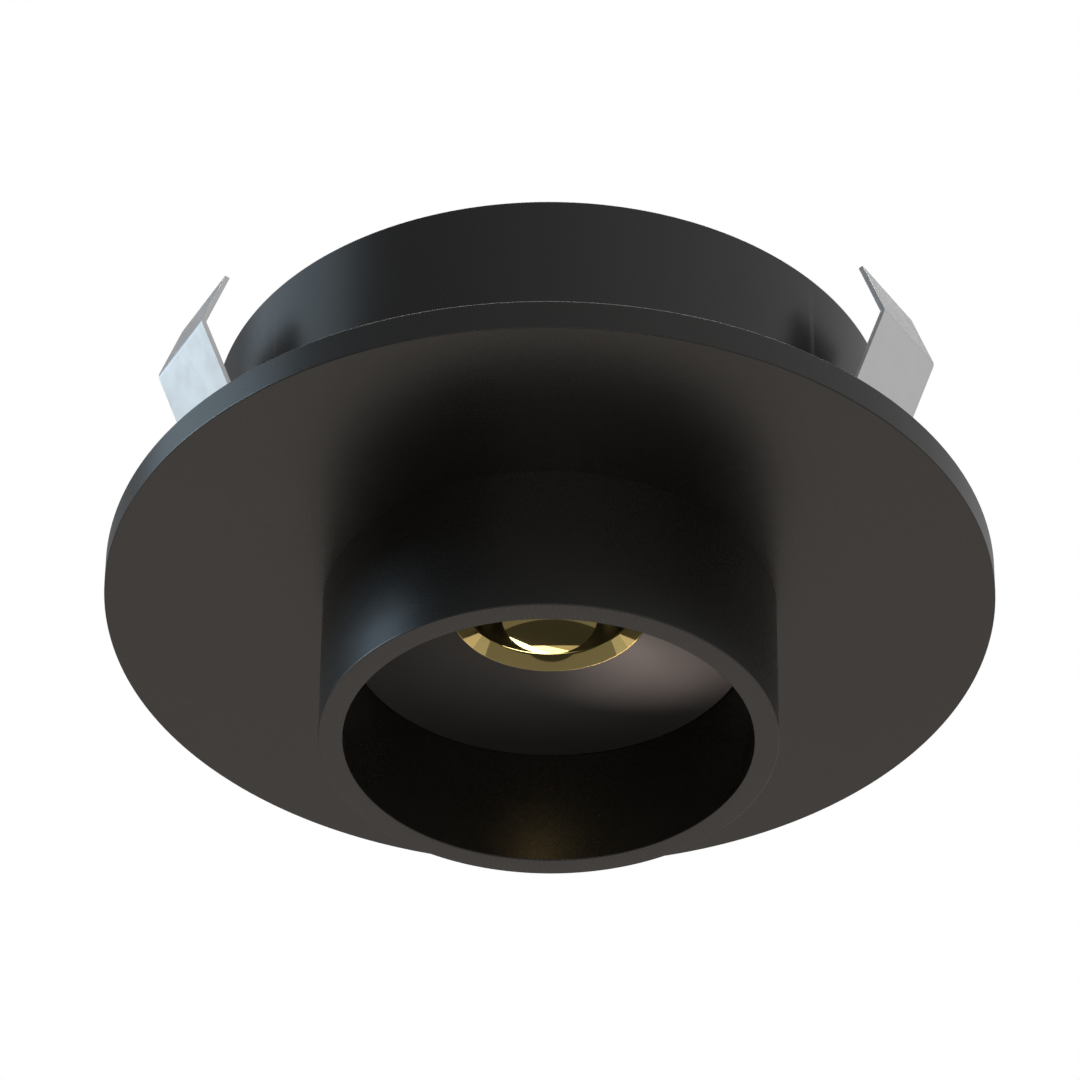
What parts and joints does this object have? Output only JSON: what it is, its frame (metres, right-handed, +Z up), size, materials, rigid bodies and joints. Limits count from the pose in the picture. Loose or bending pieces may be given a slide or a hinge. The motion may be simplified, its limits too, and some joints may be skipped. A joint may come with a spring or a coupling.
{
  "type": "recessed soffit downlight",
  "caption": "Recessed soffit downlight: flat round black trim with a short tube snoot, gold reflector, shallow can above and bent spring-steel clips.",
  "frame": {"origin": "centre of the ceiling plane: the top face of the foam gasket on the flange", "axes": "+Z up into the soffit void along the fitting's axis; +Y towards one spring clip; the light shines along -Z"},
  "size_m": [0.102, 0.102, 0.0625],
  "materials": {
    "black_coat": "satin powder coat",
    "can_coat": "satin black coat on turned aluminium",
    "cover_coat": "satin black coat",
    "baffle_black": "matte moulded",
    "gold_mirror": "polished, gold anodised",
    "silicone": "soft matte",
    "black_rubber": "matte",
    "foam": "closed-cell foam",
    "clear_glass": "clear, toughened",
    "phosphor": "silicone with phosphor",
    "board_aluminium": "white-faced board",
    "pad_grey": "soft matte",
    "white_moulding": "moulded, fine texture",
    "grey_moulding": "moulded",
    "zinc_steel": "zinc plated",
    "spring_steel": "satin cold-rolled strip",
    "brass": "machined",
    "red_insulation": "smooth",
    "black_insulation": "smooth",
    "black_nylon": "moulded nylon, fine texture"
  },
  "bodies": {
    "fitting": {"trim_bezel": "black_coat", "ceiling_gasket": "foam", "anti_glare_baffle": "baffle_black", "reflector_cup": "gold_mirror", "glass_seal": "silicone", "protective_glass": "clear_glass", "led_emitter": "phosphor", "led_board": "board_aluminium", "thermal_pad": "pad_grey", "led_holder": "white_moulding", "holder_screws": "zinc_steel", "housing_can": "can_coat", "housing_seal": "silicone", "body_screws": "zinc_steel", "lead_grommets": "black_rubber", "positive_lead": "red_insulation", "negative_lead": "black_insulation", "terminal_block": "grey_moulding", "terminal_barrels": "brass", "terminal_screws": "zinc_steel", "terminal_fixing_screw": "zinc_steel", "rear_cover": "cover_coat", "cover_gasket": "silicone", "cover_screws": "zinc_steel", "gland_body": "black_nylon", "gland_ring": "black_rubber", "gland_lock_nut": "black_nylon", "gland_insert": "black_rubber", "gland_cap": "black_nylon", "clip_screws": "zinc_steel", "clip_foot_1": "spring_steel", "clip_foot_2": "spring_steel", "clip_foot_3": "spring_steel"},
    "clip_1": {"clip_leaf_1": "spring_steel"},
    "clip_2": {"clip_leaf_2": "spring_steel"},
    "clip_3": {"clip_leaf_3": "spring_steel"}
  },
  "joints": [
    {"name": "clip_1_spring", "type": "hinge", "parent": "fitting", "child": "clip_1", "pos_m": [0, 0.0403, 0.00235], "axis": [1, 0, 0], "range_deg": [0, 13.5], "stiffness_Nm_per_rad": 1.2},
    {"name": "clip_2_spring", "type": "hinge", "parent": "fitting", "child": "clip_2", "pos_m": [-0.0349, -0.02015, 0.00235], "axis": [-0.5, 0.866, 0], "range_deg": [0, 13.5], "stiffness_Nm_per_rad": 1.2},
    {"name": "clip_3_spring", "type": "hinge", "parent": "fitting", "child": "clip_3", "pos_m": [0.0349, -0.02015, 0.00235], "axis": [-0.5, -0.866, 0], "range_deg": [0, 13.5], "stiffness_Nm_per_rad": 1.2}
  ]
}
